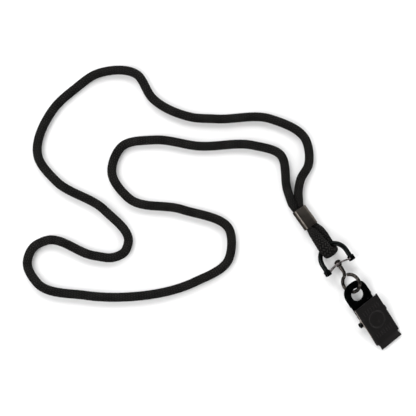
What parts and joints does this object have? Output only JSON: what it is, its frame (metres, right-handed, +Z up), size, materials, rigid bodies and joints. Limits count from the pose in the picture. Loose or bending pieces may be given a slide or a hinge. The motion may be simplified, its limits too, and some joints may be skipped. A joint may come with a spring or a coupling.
{
  "type": "lanyard badge holder",
  "caption": "Neck lanyard of round braided cord, crimped to a fold that carries a D-ring, a swivel eye and a sprung bulldog clip for a badge.",
  "frame": {"origin": "on the table directly under the middle of the clip's pivot pin, on the flat back of the clip body", "axes": "+Z up off the table, +Y along the clip from its jaws to its tab and on towards the neck loop, +X to the right seen from above with the tab end up"},
  "size_m": [0.1584, 0.1997, 0.0108],
  "materials": {
    "cord": "tight round braid of black polyester yarn",
    "crimp": "gunmetal plated strip, satin",
    "ring": "black nickel, glossy",
    "swivel": "black nickel wire, polished",
    "clip_body": "black nickel, glossy",
    "clip_lever": "black, satin, pressed ring and grip ribs",
    "pin": "black nickel, worn on the head",
    "spring": "bright spring wire"
  },
  "bodies": {
    "cord": {"neck_cord": "cord", "ring_loop": "cord", "crimp_sleeve": "crimp"},
    "ring": {"d_ring": "ring"},
    "swivel": {"swivel_eye": "swivel"},
    "clip": {"clip_body": "clip_body", "pivot_pin": "pin", "torsion_spring": "spring"},
    "lever": {"clip_lever": "clip_lever"}
  },
  "joints": [
    {"name": "ring_swing", "type": "hinge", "parent": "cord", "child": "ring", "pos_m": [0.00228, 0.04233, 0.00559], "axis": [0.9976, -0.0698, 0], "range_deg": [-25, 0]},
    {"name": "swivel_spin", "type": "hinge", "parent": "ring", "child": "swivel", "pos_m": [0.0007, 0.0198, 0.0048], "axis": [0.0697, 0.997, 0.0349], "continuous": true},
    {"name": "clip_swing", "type": "hinge", "parent": "swivel", "child": "clip", "pos_m": [0.0007, 0.0198, 0.0048], "axis": [-0.7657, 0.0311, 0.6424], "range_deg": [0, 25]},
    {"name": "jaw_open", "type": "hinge", "parent": "clip", "child": "lever", "pos_m": [0, 0, 0.00285], "axis": [-1, 0, 0], "range_deg": [0, 25], "stiffness_Nm_per_rad": 0.02, "springref_deg": -20.05, "deforming": ["torsion_spring"]}
  ]
}
